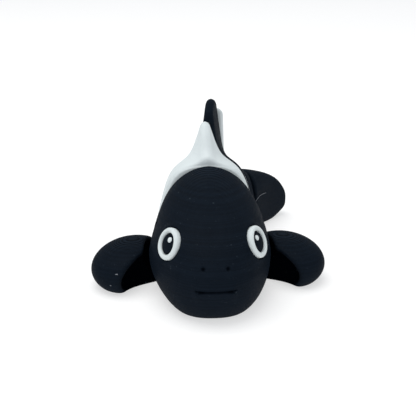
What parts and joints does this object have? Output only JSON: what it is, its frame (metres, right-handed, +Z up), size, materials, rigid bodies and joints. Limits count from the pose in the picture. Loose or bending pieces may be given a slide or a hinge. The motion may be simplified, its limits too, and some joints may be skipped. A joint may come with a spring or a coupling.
{
  "type": "articulated toy clownfish",
  "caption": "Small black and white toy fish, printed in place, whose body and tail curl from side to side on upright hinges and which rests on its flat belly.",
  "frame": {"origin": "middle of the toy's footprint on the surface that it rests on", "axes": "+Z up; the head points along -Y and is straight; the tail curls away along +Y towards +X, the fish's own left side"},
  "size_m": [0.0694, 0.089, 0.0506],
  "materials": {
    "black_plastic": "matte blue-black PLA with fine layer lines",
    "white_plastic": "satin cool white PLA with fine layer lines"
  },
  "bodies": {
    "head": {"head": "black_plastic", "eye_ring_left": "white_plastic", "eye_ring_right": "white_plastic", "eye_pupil_left": "black_plastic", "eye_pupil_right": "black_plastic", "eye_glint_left": "white_plastic", "eye_glint_right": "white_plastic"},
    "trunk_1": {"trunk_1": "white_plastic", "dorsal_fin_1": "white_plastic", "pectoral_fin_left": "black_plastic", "pectoral_fin_right": "black_plastic"},
    "trunk_2": {"trunk_2": "black_plastic", "dorsal_fin_2": "black_plastic"},
    "trunk_3": {"trunk_3": "white_plastic", "dorsal_fin_3": "white_plastic"},
    "trunk_4": {"trunk_4": "black_plastic"},
    "tail": {"tail": "black_plastic"}
  },
  "joints": [
    {"name": "hinge_1", "type": "hinge", "parent": "head", "child": "trunk_1", "pos_m": [0.00002, -0.01611, 0], "axis": [0, 0, 1], "range_deg": [-19, 17]},
    {"name": "hinge_2", "type": "hinge", "parent": "trunk_1", "child": "trunk_2", "pos_m": [-0.00017, -0.00511, 0], "axis": [0, 0, 1], "range_deg": [-7, 29]},
    {"name": "hinge_3", "type": "hinge", "parent": "trunk_2", "child": "trunk_3", "pos_m": [0.00195, 0.0069, 0], "axis": [0, 0, 1], "range_deg": [-8, 28]},
    {"name": "hinge_4", "type": "hinge", "parent": "trunk_3", "child": "trunk_4", "pos_m": [0.00544, 0.01649, 0], "axis": [0, 0, 1], "range_deg": [-8, 28]},
    {"name": "hinge_5", "type": "hinge", "parent": "trunk_4", "child": "tail", "pos_m": [0.01024, 0.0248, 0], "axis": [0, 0, 1], "range_deg": [-1, 35]}
  ]
}
